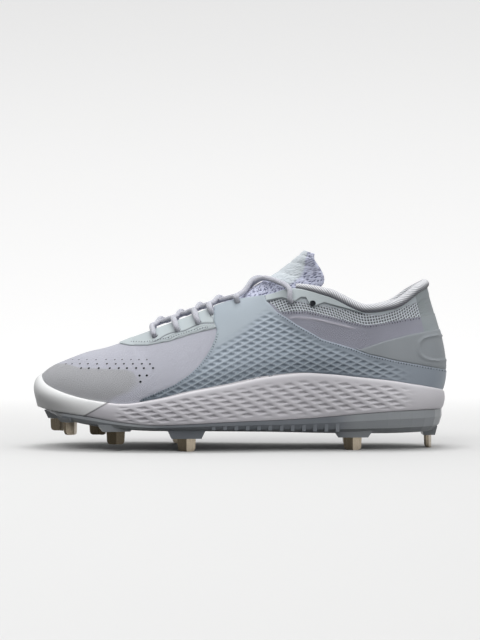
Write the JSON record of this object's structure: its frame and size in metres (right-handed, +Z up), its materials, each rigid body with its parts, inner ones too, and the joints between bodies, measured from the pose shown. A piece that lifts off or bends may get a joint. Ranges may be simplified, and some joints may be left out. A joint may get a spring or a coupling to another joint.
{
  "type": "baseball cleat",
  "caption": "Low-cut baseball shoe for the left foot: hollow laced upper with a midfoot wrap, cupped foam midsole, rubber toe bumper and a plate with folded metal spikes.",
  "frame": {"origin": "on the floor plane under the middle of the shoe's length and width", "axes": "+X towards the heel, -X towards the toe, -Y the outer side of the foot, +Y the inner side, +Z up; the shoe stands on its ball and heel spikes"},
  "size_m": [0.3009, 0.1012, 0.1433],
  "materials": {
    "upper_skin": "fine knit under a thin matte film, lilac grey",
    "wrap_skin": "smooth film over fabric, blue grey, embossed with a diamond grid",
    "counter_skin": "matte synthetic leather, green grey",
    "stay_skin": "smooth matte synthetic leather, pale grey",
    "collar_knit": "padded knit, pale grey",
    "tongue_knit": "open knit over padding, violet grey",
    "lace_cord": "round woven cord, lilac grey",
    "insole_cloth": "flat lining cloth, grey",
    "midsole_foam": "moulded foam with a satin skin, warm grey",
    "bumper_rubber": "moulded rubber, pale grey",
    "plate_plastic": "moulded nylon, slate grey",
    "spike_steel": "bent sheet steel, warm tint"
  },
  "bodies": {
    "root": {"upper": "upper_skin", "midfoot_wrap": "wrap_skin", "heel_counter": "counter_skin", "eyestay": "stay_skin", "collar_stay_outer": "stay_skin", "collar_stay_inner": "stay_skin", "collar_roll": "collar_knit", "tongue": "tongue_knit", "laces": "lace_cord", "insole": "insole_cloth", "midsole": "midsole_foam", "toe_bumper": "bumper_rubber", "outsole_plate": "plate_plastic", "spike_toe_inner": "spike_steel", "spike_toe_outer": "spike_steel", "spike_front_inner": "spike_steel", "spike_front_outer": "spike_steel", "spike_ball_outer": "spike_steel", "spike_ball_inner": "spike_steel", "spike_heel_outer": "spike_steel", "spike_heel_inner": "spike_steel", "spike_heel_back": "spike_steel"}
  },
  "joints": []
}
